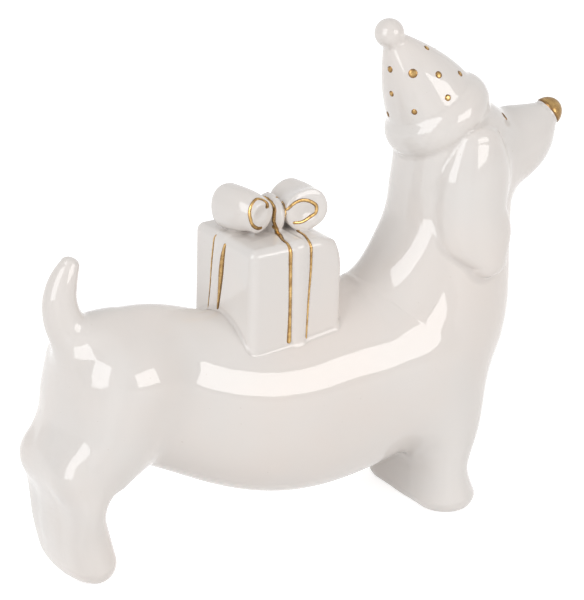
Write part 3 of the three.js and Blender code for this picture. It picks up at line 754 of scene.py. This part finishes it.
def glazed_porcelain():
    """White ware under clear glaze: faint clouding, painted shade in creases that partly also stands for
    glaze pooling, rare specks and a slight ripple.
    """
    material, tree, shader, coordinates = new_material("glazed_porcelain")
    cloud = ramp(tree, noise(tree, coordinates, scale=22, detail=3), [(0.35, 0.0), (0.65, 1.0)])
    colour = blend_colours(tree, cloud, GLAZE_WARM, GLAZE_COOL)
    # Creases darken: painted shade, partly also glaze pooling
    pooled_and_shaded = ramp(tree, shade_of(tree), [(0, 0.0), (1, 0.35)])
    colour = blend_colours(tree, pooled_and_shaded, colour, GLAZE_POOLED_AND_SHADED)
    speck = ramp(tree, noise(tree, coordinates, scale=900, detail=1), [(0.78, 0.0), (0.82, 0.35)])
    colour = blend_colours(tree, speck, colour, SPECK)
    tree.links.new(colour, shader.inputs["Base Color"])
    gloss = ramp(tree, noise(tree, coordinates, scale=60, detail=2), [(0.3, 0.015), (0.7, 0.05)])
    tree.links.new(gloss, shader.inputs["Roughness"])
    shader.inputs["IOR"].default_value = GLAZE_IOR
    ripple = add_node(tree, "ShaderNodeBump", Strength=0.06, Distance=0.0006)
    tree.links.new(noise(tree, coordinates, scale=130, detail=2), ripple.inputs["Height"])
    tree.links.new(ripple.outputs["Normal"], shader.inputs["Normal"])
    return material


GOLD_BRIGHT = (0.66, 0.44, 0.18, 1)
GOLD_DEEP = (0.34, 0.2, 0.075, 1)
# The colour of thin stroke edges, and of the painted dark reflection on dots and eyes
GOLD_THIN_AND_PAINTED_DARK = (0.15, 0.08, 0.035, 1)


def gold_lustre():
    """Brushed gold with thicker and thinner patches, darker where the stroke thins out at its edge and on
    pieces darkened all over, which on dots and eyes is a painted dark reflection.
    """
    material, tree, shader, coordinates = new_material("gold_lustre")
    patches = ramp(tree, noise(tree, coordinates, scale=500, detail=3), [(0.35, 0.0), (0.65, 1.0)])
    colour = blend_colours(tree, patches, GOLD_BRIGHT, GOLD_DEEP)
    # Gold darkens at a stroke's thin edge, and where a dark reflection is painted on
    thin_and_painted_dark = ramp(tree, shade_of(tree), [(0.2, 0.0), (0.9, 0.9)])
    colour = blend_colours(tree, thin_and_painted_dark, colour, GOLD_THIN_AND_PAINTED_DARK)
    tree.links.new(colour, shader.inputs["Base Color"])
    shader.inputs["Metallic"].default_value = 1.0
    gloss = ramp(tree, noise(tree, coordinates, scale=800, detail=2), [(0.3, 0.16), (0.7, 0.4)])
    tree.links.new(gloss, shader.inputs["Roughness"])
    brushed = add_node(tree, "ShaderNodeBump", Strength=0.25, Distance=0.0003)
    tree.links.new(noise(tree, coordinates, scale=1500, detail=2), brushed.inputs["Height"])
    tree.links.new(brushed.outputs["Normal"], shader.inputs["Normal"])
    return material


# Gold lustre: thin domed strokes and dabs painted on the skin

LUSTRE_HEIGHT = 0.25
LUSTRE_SINK = 0.06

# A stroke of this width or more stands at its full height
FULL_WIDTH = 1.2
STROKE_SIDES = 8
STROKE_STEP = 0.3
DAB_RINGS = 5
DAB_SIDES = 20


def unit(vectors):
    return vectors / np.maximum(np.linalg.norm(vectors, axis=1), 1e-9)[:, None]


def raised(form, flat, share, width):
    """Lifts points off the form: most in the middle of a stroke, and just under the skin at its edge."""
    _, slopes, _ = slope(form, flat)
    top = LUSTRE_HEIGHT * np.minimum(width / FULL_WIDTH, 1) + LUSTRE_SINK
    height = top * np.sqrt(np.maximum(1 - share**2, 0)) - LUSTRE_SINK
    return flat + unit(slopes) * height[:, None]


def stroke(form, rows, closed=False):
    """Corners, faces and edge shares of a brush stroke through rows of x, y, z and width."""
    rows = list(rows) + list(rows[:1]) if closed else list(rows)
    length = np.linalg.norm(np.diff(np.array(rows)[:, :3], axis=0), axis=1).sum()
    run, along = smooth_run(rows, int(length / STROKE_STEP) + 2)
    if closed:
        run = run[:-1]
    centres, width = onto(form, run[:, :3], 4), run[:, 3]
    ahead = np.roll(centres, -1, axis=0) - np.roll(centres, 1, axis=0)
    if not closed:
        ahead[0] = centres[1] - centres[0]
        ahead[-1] = centres[-1] - centres[-2]
        from_end = np.minimum(along, along[-1] - along) / (width / 2)
        width = width * np.sqrt(1 - (1 - np.clip(from_end, 0.02, 1)) ** 2)
    _, slopes, _ = slope(form, centres)
    side = unit(np.cross(unit(slopes), unit(ahead)))
    shares = np.linspace(-1, 1, STROKE_SIDES + 1)
    reach = shares[None, :, None] * width[:, None, None] / 2
    flat = onto(form, (centres[:, None] + side[:, None] * reach).reshape(-1, 3))
    edge = np.tile(np.abs(shares), len(centres))
    verts = raised(form, flat, edge, np.repeat(width, len(shares)))
    last = len(centres) - (0 if closed else 1)
    start = np.arange(last)[:, None] * len(shares) + np.arange(STROKE_SIDES)[None]
    after = (start + len(shares)) % len(verts)
    return verts, np.stack([start, start + 1, after + 1, after], -1).reshape(-1, 4), edge


def dab(form, centre, radius):
    """Corners, faces and edge shares of a round dab."""
    centre = onto(form, np.array([centre], float), 4)
    _, slopes, _ = slope(form, centre)
    up = unit(slopes)[0]
    right = unit(np.cross([up], [(0, 1, 0)]))[0]
    forward = np.cross(up, right)
    share = np.repeat(np.arange(DAB_RINGS + 1) / DAB_RINGS, DAB_SIDES)
    turn = np.tile(np.arange(DAB_SIDES) * 2 * np.pi / DAB_SIDES, DAB_RINGS + 1)
    reach = radius * np.maximum(share, 0.01)[:, None]
    around = np.cos(turn)[:, None] * right + np.sin(turn)[:, None] * forward
    flat = onto(form, centre + reach * around)
    verts = raised(form, flat, share, np.full(len(flat), 2 * radius))
    ring = np.arange(DAB_RINGS)[:, None] * DAB_SIDES
    start = ring + np.arange(DAB_SIDES)[None]
    after = ring + (np.arange(DAB_SIDES) + 1)[None] % DAB_SIDES
    faces = np.stack([start, after, after + DAB_SIDES, start + DAB_SIDES], -1).reshape(-1, 4)
    return verts, faces, share


def gild(name, parts, painted_dark=0.0):
    """One gold piece from painted parts, each facing outwards, in place of the node of that name."""
    verts = np.concatenate([part[0] for part in parts])
    counts = np.cumsum([0] + [len(part[0]) for part in parts])
    faces = np.concatenate([part[1] + count for part, count in zip(parts, counts)])
    # Each stroke's edge share, raised to the piece's painted darkness, a painted dark reflection
    edge = np.maximum(np.concatenate([part[2] for part in parts]), painted_dark)
    corners = verts[faces]
    flat = np.cross(corners[:, 2] - corners[:, 0], corners[:, 3] - corners[:, 1])
    _, slopes, _ = slope(everything, verts[faces[:, 0]])
    inward = (flat * slopes).sum(1) < 0
    faces[inward] = faces[inward][:, ::-1]
    flat[inward] *= -1
    normals = np.zeros_like(verts)
    for i in range(4):
        np.add.at(normals, faces[:, i], flat)
    make_piece(f"{name}_lustre", verts, faces, unit(normals), edge, gold, name, "gold_lustre")


def everything(points):
    return np.minimum(dog(points), gift(points))


porcelain = glazed_porcelain()
gold = gold_lustre()


def neck_side(points):
    """Positive on the head's side of the neck joint."""
    angle = math.radians(NECK_JOINT_SLOPE)
    x, z = points[:, 0] - NECK_JOINT[0], points[:, 2] - NECK_JOINT[1]
    return x * math.sin(angle) + z * math.cos(angle)


def beside(distance, away):
    """Keeps a form from owning the faces that lie away from it."""
    return np.where(away, distance + Loft.REACH, distance)


DOG_OWNERS = {
    "torso": lambda p: beside(trunk_form(p), neck_side(p) > 0),
    "head": lambda p: np.minimum(beside(trunk_form(p), neck_side(p) <= 0), muzzle_form(p)),
    "ear_left": lambda p: ear(p, 1),
    "ear_right": lambda p: ear(p, -1),
    "tail": tail_form,
    "hind_legs": hind_legs,
    "front_legs": front_legs,
    "hat_brim": brim,
    "hat_cone": cone,
    "hat_pompom": pompom,
}

GIFT_OWNERS = {
    "gift_box": lambda p: box(in_box(p)),
    "ribbon_side": lambda p: side_ribbon(in_box(p)),
    "ribbon_rear": lambda p: beside(end_ribbon(in_box(p)), in_box(p)[:, 0] > 0),
    "ribbon_front": lambda p: beside(end_ribbon(in_box(p)), in_box(p)[:, 0] <= 0),
    "bow_loop_rear": lambda p: loop_forms["rear"](in_box(p)),
    "bow_loop_front": lambda p: loop_forms["front"](in_box(p)),
    "bow_knot": lambda p: knot(in_box(p)),
}

split_skin(skin(dog, BODY_SPACE, BODY_STEP), DOG_OWNERS, porcelain)
gift_skin = skin(gift_on_back, GIFT_SPACE, GIFT_STEP)
split_skin(gift_skin, GIFT_OWNERS, porcelain, keep=lambda p: dog(p) > GIFT_CLEARANCE)

# Dots on the hat: node, height, bearing from the front, radius, and the painted darkness of the lustre, a
# painted dark reflection. The nine in view were picked in the photograph, and a scratch program worked
# out their heights and bearings.
DOTS = [
    ("1_1", 14.4, -40, 1.1, 0.1),
    ("1_2", 13.8, -86, 1.1, 0),
    ("1_3", 15.1, -136, 1, 0.3),
    ("1_4", 13.5, 169, 1, 0.5),
    ("1_5", 14, 117, 1.1, 0.2),
    ("1_6", 14, 66, 1.1, 0.3),
    ("1_7", 14, 14, 1.1, 0.8),
    ("2_1", 20.3, -73, 1.2, 0.1),
    ("2_2", 21.1, -168, 1, 0.3),
    ("2_3", 20.7, 98, 1.1, 0.2),
    ("2_4", 20.7, 10, 1.1, 0.8),
    ("3_1", 26.5, -34, 1, 0.1),
    ("3_2", 25.1, -110, 1.5, 0.4),
    ("3_3", 27.9, -162, 1.1, 0.3),
    ("3_4", 26, 125, 1.1, 0.3),
    ("3_5", 26, 50, 1.1, 0.6),
]


def hat_point(height, bearing):
    """The place on the cone at a height, and at a bearing from the front."""
    angle = math.radians(bearing)
    radius = hat_radius(height)
    dx, dz = turned(radius * math.cos(angle), height, -HAT_TILT)
    return HAT_BASE[0] + dx, radius * math.sin(angle), HAT_BASE[1] + dz


for node, height, bearing, radius, painted_dark in DOTS:
    gild(f"hat_dot_{node}", [dab(dog, hat_point(height, bearing), radius)], painted_dark)

# Eyes: one short stroke each, through x, y, z and width
EYE = [(65.2, -6.8, 121.2, 0.9), (65.7, -7.8, 120.3, 1.3), (66.2, -8.6, 119.3, 1)]
# The eyes' lustre is darkened all over: a painted dark reflection
EYE_PAINTED_DARK = 0.8
gild("eye_right", [stroke(dog, EYE)], EYE_PAINTED_DARK)
gild("eye_left", [stroke(dog, [(x, -y, z, width) for x, y, z, width in EYE])], EYE_PAINTED_DARK)

# Nose cap: the tip of the muzzle in front of a sloping edge
NOSE_EDGE_X = 86.9
NOSE_EDGE_Z = 116.3
NOSE_EDGE_SLOPE = 0.6
NOSE_EDGE_FADE = 2.2
NOSE_TONE = 0.5

# The cap rises over this far, and starts just behind its edge
NOSE_RISE = 0.6
NOSE_START = -0.3


def past_nose_edge(points):
    return points[:, 0] - NOSE_EDGE_X + NOSE_EDGE_SLOPE * (points[:, 2] - NOSE_EDGE_Z)


def capped_nose(points):
    rise = np.clip(past_nose_edge(points) / NOSE_RISE, -1, 1)
    return dog(points) - LUSTRE_HEIGHT * rise


def make_nose_cap():
    verts, quads, normals, _ = skin(capped_nose, NOSE_SPACE, NOSE_STEP)
    faces = quads[past_nose_edge(verts[quads].mean(1)) > NOSE_START]
    used, faces = np.unique(faces, return_inverse=True)
    # Darker toward the cap's edge, and darkened all over by at least NOSE_TONE
    edge = np.clip(1 - past_nose_edge(verts[used]) / NOSE_EDGE_FADE, NOSE_TONE, 1)
    parts = verts[used], faces.reshape(-1, 4), normals[used], edge
    make_piece("nose_cap_lustre", *parts, gold, "nose_cap", "gold_lustre")


make_nose_cap()

# Ribbon edges, bow rims and knot: strokes in the box's frame through x, y, height above its top, and
# width. Points in view were picked in the photograph, and a scratch program worked out their places.
SIDE_LINE_REAR = [
    (-1.6, -3.9, 2.1, 1.3),
    (-0.9, -6.5, 0, 1.5),
    (-2.5, -11.5, 0, 1.2),
    (-2.9, -14.8, -0.4, 1.1),
    (-2.9, -15.8, -1.7, 1.4),
    (-2.8, -16, -7.9, 1.4),
    (-2.6, -16, -20.6, 1.3),
    (-2.7, -16, -31.2, 1.8),
]
SIDE_LINE_FRONT = [
    (5.6, -6.4, 0, 1.1),
    (5.5, -10.2, 0, 1.1),
    (4.3, -14.6, -0.3, 1),
    (4.4, -15.9, -1.8, 1.1),
    (4.5, -16, -6.8, 1),
    (3.9, -16, -18.8, 0.8),
    (3.4, -16, -31.8, 0.8),
]
REAR_LINE_LEFT = [
    (-15.9, 4.6, -0.5, 0.7),
    (-16.3, 5.1, -3.7, 0.8),
    (-16.3, 6, -10.4, 0.8),
    (-16.3, 6.5, -17.6, 0.8),
    (-16.3, 7.5, -25.6, 0.7),
]
REAR_LINE_RIGHT = [
    (-16.1, -1.2, -1.7, 1.2),
    (-16.3, -0.2, -5.8, 2),
    (-16.3, 0.5, -10.8, 2.4),
    (-16.3, 1.2, -16.7, 1.8),
    (-16.3, 2.3, -24.5, 0.8),
]
REAR_RIM_LEFT = [
    (-13.4, 9.5, 6.4, 1.1),
    (-12.4, 9.5, 9.2, 1.1),
    (-10.2, 9.5, 10.2, 1.1),
    (-8, 9.5, 9.2, 1.1),
    (-7, 9.5, 6.4, 1.1),
    (-8, 9.5, 3.6, 1.1),
    (-10.2, 9.5, 2.6, 1.1),
    (-12.4, 9.5, 3.6, 1.1),
]
FRONT_RIM_LEFT = [
    (7.2, 9.5, 5.4, 1.1),
    (8.3, 9.5, 7.5, 1.1),
    (10.8, 9.5, 8.3, 1.1),
    (13.3, 9.5, 7.5, 1.1),
    (14.4, 9.5, 5.4, 1.1),
    (13.3, 9.5, 3.3, 1.1),
    (10.8, 9.5, 2.5, 1.1),
    (8.3, 9.5, 3.3, 1.1),
]
REAR_RIM = [
    (-5.3, -7.9, 8.5, 1.4),
    (-6.2, -7.1, 11.9, 1.1),
    (-8.1, -5.9, 12.6, 1.1),
    (-10.5, -6.4, 11.5, 1),
    (-11.7, -6.9, 9, 1.1),
    (-11.4, -7.5, 6.1, 1.2),
    (-8.6, -6.5, 3.5, 1.2),
    (-6.5, -7, 3, 1.1),
]
FRONT_RIM = [
    (2, -6.4, 7, 1),
    (4.6, -6.9, 8.9, 1.1),
    (7, -6.9, 9.4, 1.2),
    (9.8, -7.1, 8.6, 1.2),
    (11.9, -7.3, 6.7, 1.2),
    (11.6, -7.5, 4.9, 1.1),
    (9.7, -7.7, 4.1, 1.1),
    (6.6, -7.8, 2.9, 1),
    (3.7, -7.5, 2.9, 1),
]
KNOT_LINE_REAR = [
    (-1.5, 1.6, 9.6, 1.1),
    (-1.7, -0.9, 9.4, 1.4),
    (-1.6, -2.9, 8.9, 1.4),
    (-1.6, -4.2, 7.9, 1.4),
    (-1.8, -4.8, 6.6, 1.4),
    (-2.1, -4.8, 4.7, 1.4),
    (-1.8, -5, 2.8, 1.4),
    (-1.6, -5.6, 0.8, 1.4),
]
KNOT_LINE_FRONT = [
    (0.4, -2.5, 10.2, 0.7),
    (3.6, -1, 7.9, 0.8),
    (2.2, -4.7, 7.4, 0.8),
    (1.9, -5.8, 5.6, 0.8),
    (1.6, -5.8, 3.4, 0.8),
]


def on_gift(rows, mirror_x=False, mirror_y=False, closed=False):
    """A stroke on the gift, or its mirror image on the far side."""
    rows = np.array(rows, float)
    rows[:, 0] *= -1 if mirror_x else 1
    rows[:, 1] *= -1 if mirror_y else 1
    places = out_of_box(rows[:, :3] + (0, 0, BOX_TOP))
    return stroke(gift, [(*place, width) for place, width in zip(places, rows[:, 3])], closed)


def both_sides(rows):
    return [on_gift(rows), on_gift(rows, mirror_y=True)]


gild("side_line_rear", both_sides(SIDE_LINE_REAR))
gild("side_line_front", both_sides(SIDE_LINE_FRONT))
gild("rear_line_right", [on_gift(REAR_LINE_RIGHT)])
gild("rear_line_left", [on_gift(REAR_LINE_LEFT)])
gild("front_line_right", [on_gift(REAR_LINE_RIGHT, mirror_x=True)])
gild("front_line_left", [on_gift(REAR_LINE_LEFT, mirror_x=True)])
gild("bow_rim_rear_right", [on_gift(REAR_RIM)])
gild("bow_rim_rear_left", [on_gift(REAR_RIM_LEFT, closed=True)])
gild("bow_rim_front_right", [on_gift(FRONT_RIM)])
gild("bow_rim_front_left", [on_gift(FRONT_RIM_LEFT, closed=True)])
gild("knot_line_rear", both_sides(KNOT_LINE_REAR))
gild("knot_line_front", both_sides(KNOT_LINE_FRONT))


# Camera at the photograph's angle

AZIMUTH = -30
ELEVATION = 20
CAMERA_DISTANCE = 1100
CAMERA_REACH = 20
AIM = np.array([0, 0, 75])
PHOTO_WIDTH = 584
PHOTO_HEIGHT = 600

# The size of a pixel at the aim point, and the pixel where the photograph shows that point
MM_PER_PIXEL = 0.3015
AIM_PIXEL = (303.7, 286.4)
SENSOR = 36


def view_axes(azimuth, elevation):
    """The view's right, up and back, where azimuth 0 looks at the dog's right side."""
    a, e = math.radians(azimuth), math.radians(elevation)
    back = np.array([math.sin(a) * math.cos(e), -math.cos(a) * math.cos(e), math.sin(e)])
    right = np.array([math.cos(a), math.sin(a), 0])
    return right, np.cross(back, right), back


def look_from(thing, azimuth, elevation, distance):
    """Places a camera or a lamp so that it faces the aim point."""
    right, up, back = view_axes(azimuth, elevation)
    place = (AIM + DOG_ORIGIN + back * distance) * METRE
    rows = np.column_stack([right, up, back, place])
    thing.matrix_world = Matrix(np.vstack([rows, [0, 0, 0, 1]]).tolist())


def make_camera():
    data = bpy.data.cameras.new("camera")
    data.sensor_width = SENSOR
    data.lens = SENSOR * CAMERA_DISTANCE / MM_PER_PIXEL / PHOTO_HEIGHT
    data.shift_x = (PHOTO_WIDTH / 2 - AIM_PIXEL[0]) / PHOTO_HEIGHT
    data.shift_y = (AIM_PIXEL[1] - PHOTO_HEIGHT / 2) / PHOTO_HEIGHT
    data.clip_end = CAMERA_REACH
    camera = bpy.data.objects.new("camera", data)
    bpy.context.collection.objects.link(camera)
    look_from(camera, AZIMUTH, ELEVATION, CAMERA_DISTANCE)
    bpy.context.scene.camera = camera


# Floor, white surroundings and soft boxes

def see_white(tree, strength):
    """Adds to a surface the light that the camera, gloss and glass see, and nothing else gets."""
    path = tree.nodes.new("ShaderNodeLightPath").outputs
    seen = add_node(tree, "ShaderNodeMath", operation="MAXIMUM")
    tree.links.new(path["Is Camera Ray"], seen.inputs[0])
    tree.links.new(path["Is Glossy Ray"], seen.inputs[1])
    either = add_node(tree, "ShaderNodeMath", operation="MAXIMUM")
    tree.links.new(seen.outputs[0], either.inputs[0])
    tree.links.new(path["Is Transmission Ray"], either.inputs[1])
    amount = add_node(tree, "ShaderNodeMath", operation="MULTIPLY")
    tree.links.new(either.outputs[0], amount.inputs[0])
    amount.inputs[1].default_value = strength
    return amount.outputs[0]


FLOOR_HALF = 4.0

# The floor's glow in the camera and the gloss, and the light that the room gives
FLOOR_GLOW = 0.65
ROOM_LIGHT = 0.57


def make_floor():
    mesh = bpy.data.meshes.new("floor")
    corners = [(x * FLOOR_HALF, y * FLOOR_HALF, 0) for x, y in ((-1, -1), (1, -1), (1, 1), (-1, 1))]
    mesh.from_pydata(corners, [], [(0, 1, 2, 3)])
    floor = bpy.data.objects.new("floor", mesh)
    bpy.context.collection.objects.link(floor)
    material, tree, shader, coordinates = new_material("pale_floor")
    grain = ramp(tree, noise(tree, coordinates, scale=3, detail=2), [(0.3, 0.8), (0.7, 0.82)])
    tree.links.new(grain, shader.inputs["Base Color"])
    shader.inputs["Roughness"].default_value = 0.8
    shader.inputs["Specular IOR Level"].default_value = 0.0
    shader.inputs["Emission Color"].default_value = (1, 1, 1, 1)
    tree.links.new(see_white(tree, FLOOR_GLOW), shader.inputs["Emission Strength"])
    mesh.materials.append(material)


def make_world():
    world = bpy.data.worlds.new("white_room")
    bpy.context.scene.world = world
    world.use_nodes = True
    tree = world.node_tree
    background = tree.nodes["Background"]
    background.inputs["Color"].default_value = (1, 1, 1, 1)
    extra = see_white(tree, 1 - ROOM_LIGHT)
    total = add_node(tree, "ShaderNodeMath", operation="ADD")
    tree.links.new(extra, total.inputs[0])
    total.inputs[1].default_value = ROOM_LIGHT
    tree.links.new(total.outputs[0], background.inputs["Strength"])


# Soft boxes: azimuth, elevation, half angles, what the gloss sees, what lights the object, tint.
# The angles began as a scratch program's fit to the highlights, and were then changed by hand.
SOFT_BOXES = {
    "softbox_right": (25, 17, 18, 12.5, 4.6, 3.2, (1, 0.972, 0.952)),
    "softbox_left": (-69, 24, 18, 24, 4.2, 2.6, (0.975, 0.987, 1)),
}
SOFT_BOX_DISTANCE = 1400


def make_soft_box(name, azimuth, elevation, half_across, half_up, gleam, light, tint):
    """Two area lamps in one place: one that only the gloss sees, and one that only lights."""
    for part, radiance in (("gleam", gleam), ("light", light)):
        lamp = bpy.data.lights.new(f"{name}_{part}", "AREA")
        lamp.shape = "RECTANGLE"
        lamp.size = 2 * SOFT_BOX_DISTANCE * METRE * math.tan(math.radians(half_across))
        lamp.size_y = 2 * SOFT_BOX_DISTANCE * METRE * math.tan(math.radians(half_up))
        lamp.energy = radiance * math.pi * lamp.size * lamp.size_y
        lamp.color = tint
        thing = bpy.data.objects.new(lamp.name, lamp)
        bpy.context.collection.objects.link(thing)
        look_from(thing, azimuth, elevation, SOFT_BOX_DISTANCE)
        thing.visible_camera = False
        thing.visible_transmission = False
        thing.visible_glossy = part == "gleam"
        thing.visible_diffuse = part == "light"


make_camera()
make_floor()
make_world()
for name, settings in SOFT_BOXES.items():
    make_soft_box(name, *settings)
bpy.context.scene.view_settings.view_transform = "Standard"
